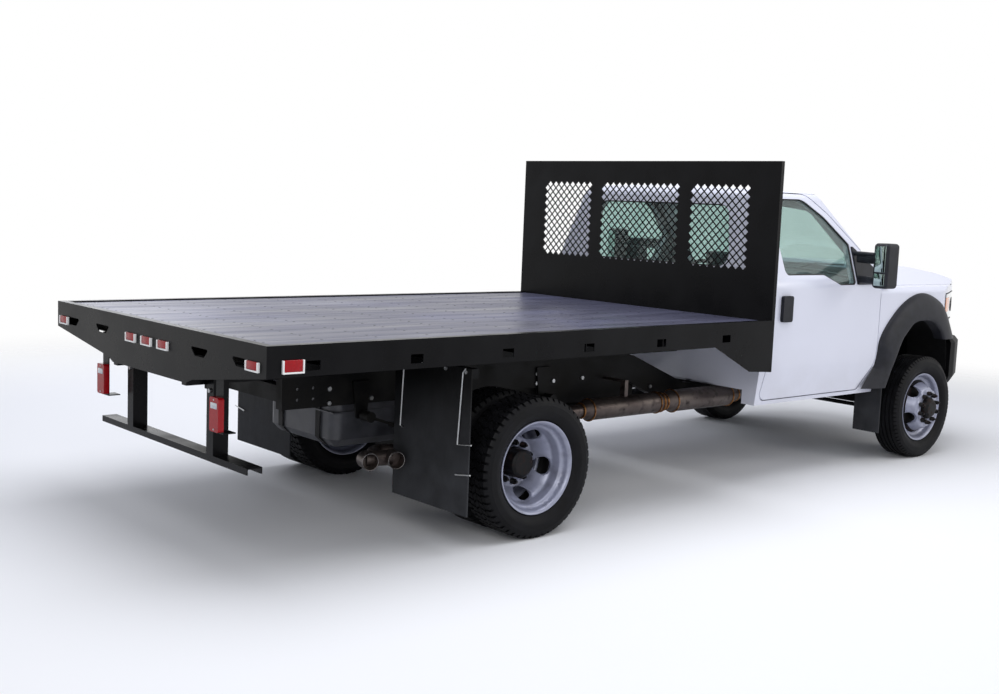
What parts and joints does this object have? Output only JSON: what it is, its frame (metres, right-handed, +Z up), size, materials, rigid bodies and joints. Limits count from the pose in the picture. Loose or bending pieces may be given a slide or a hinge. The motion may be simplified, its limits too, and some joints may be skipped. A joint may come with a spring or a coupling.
{
  "type": "flatbed truck",
  "caption": "Single-cab flatbed truck with dual rear wheels, a plank deck on a black steel platform body, a mesh-windowed headboard and stake pockets.",
  "frame": {"origin": "on the ground, under the middle of the truck's bounding box", "axes": "+X forward, +Y to the driver's left, +Z up"},
  "size_m": [6.928, 2.71, 2.182],
  "materials": {
    "chassis_black": "satin",
    "cast_grey": "rough",
    "tank_grey": "satin",
    "exhaust_steel": "heat stained",
    "bed_black": "gloss",
    "deck_wood": "black paint over grain",
    "lens_red": "clear lens",
    "rubber_black": "matte",
    "cab_white": "gloss",
    "window_glass": "tinted",
    "trim_black": "grained",
    "interior_grey": "grained",
    "seat_cloth": "woven",
    "lens_clear": "clear lens",
    "bumper_black": "gloss",
    "wheel_silver": "satin",
    "tyre_rubber": "matte"
  },
  "bodies": {
    "chassis": {"bed_brackets": "bed_black", "bed_crossmembers": "bed_black", "bed_sills": "bed_black", "bench_seat": "seat_cloth", "cab_back": "cab_white", "cab_firewall": "cab_white", "cab_floor": "cab_white", "cab_glass": "window_glass", "cab_roof": "cab_white", "cab_side_frames": "cab_white", "cowl": "trim_black", "dashboard": "interior_grey", "deck_planks": "deck_wood", "driveline": "cast_grey", "engine_block": "cast_grey", "exhaust": "exhaust_steel", "fenders": "cab_white", "frame_crossmembers": "chassis_black", "frame_rails": "chassis_black", "front_axle": "chassis_black", "front_bumper": "bumper_black", "fuel_tank": "tank_grey", "grille": "trim_black", "headboard": "bed_black", "headboard_mesh": "bed_black", "headlamps": "lens_clear", "marker_lamps": "lens_red", "mud_flaps": "rubber_black", "radiator": "cast_grey", "rear_apron": "bed_black", "rear_axle": "chassis_black", "side_rails": "bed_black", "splash_flaps": "rubber_black", "springs": "chassis_black", "steering_wheel": "interior_grey", "tail_lamps": "lens_red", "underride_guard": "bed_black", "wheel_flares": "trim_black"},
    "knuckle_left": {"knuckle_left": "chassis_black"},
    "knuckle_right": {"knuckle_right": "chassis_black"},
    "tie_rod": {"tie_rod": "chassis_black"},
    "front_wheel_left": {"wheel_front_left": "wheel_silver", "tyre_front_left": "tyre_rubber"},
    "front_wheel_right": {"wheel_front_right": "wheel_silver", "tyre_front_right": "tyre_rubber"},
    "rear_wheels_left": {"wheels_rear_left": "wheel_silver", "tyres_rear_left": "tyre_rubber"},
    "rear_wheels_right": {"wheels_rear_right": "wheel_silver", "tyres_rear_right": "tyre_rubber"},
    "door_left": {"door_left": "cab_white", "door_glass_left": "window_glass", "door_handle_left": "trim_black", "mirror_left": "trim_black"},
    "door_right": {"door_right": "cab_white", "door_glass_right": "window_glass", "door_handle_right": "trim_black", "mirror_right": "trim_black"},
    "hood": {"hood": "cab_white"}
  },
  "joints": [
    {"name": "steer_left", "type": "hinge", "parent": "chassis", "child": "knuckle_left", "pos_m": [2.491, 0.88, 0.396], "axis": [0, 0, 1], "range_deg": [-36, 36]},
    {"name": "steer_right", "type": "hinge", "parent": "chassis", "child": "knuckle_right", "pos_m": [2.491, -0.88, 0.396], "axis": [0, 0, 1], "range_deg": [-36, 36]},
    {"name": "tie_rod_swing", "type": "hinge", "parent": "knuckle_left", "child": "tie_rod", "pos_m": [2.321, 0.88, 0.359], "axis": [0, 0, 1], "range_deg": [-36, 36]},
    {"name": "front_left_spin", "type": "hinge", "parent": "knuckle_left", "child": "front_wheel_left", "pos_m": [2.491, 0.95, 0.396], "axis": [0, 1, 0], "continuous": true},
    {"name": "front_right_spin", "type": "hinge", "parent": "knuckle_right", "child": "front_wheel_right", "pos_m": [2.491, -0.95, 0.396], "axis": [0, 1, 0], "continuous": true},
    {"name": "rear_left_spin", "type": "hinge", "parent": "chassis", "child": "rear_wheels_left", "pos_m": [-1.695, 0.94, 0.396], "axis": [0, 1, 0], "continuous": true},
    {"name": "rear_right_spin", "type": "hinge", "parent": "chassis", "child": "rear_wheels_right", "pos_m": [-1.695, -0.94, 0.396], "axis": [0, 1, 0], "continuous": true},
    {"name": "door_left_hinge", "type": "hinge", "parent": "chassis", "child": "door_left", "pos_m": [1.811, 1.006, 0.95], "axis": [0, 0, -1], "range_deg": [0, 66]},
    {"name": "door_right_hinge", "type": "hinge", "parent": "chassis", "child": "door_right", "pos_m": [1.811, -1.006, 0.95], "axis": [0, 0, 1], "range_deg": [0, 66]},
    {"name": "hood_hinge", "type": "hinge", "parent": "chassis", "child": "hood", "pos_m": [2.141, 0, 1.42], "axis": [0, -1, 0], "range_deg": [0, 48]}
  ],
  "couplings": [
    {"joint": "steer_right", "follows": "steer_left", "ratio": 1},
    {"joint": "tie_rod_swing", "follows": "steer_left", "ratio": -1}
  ]
}
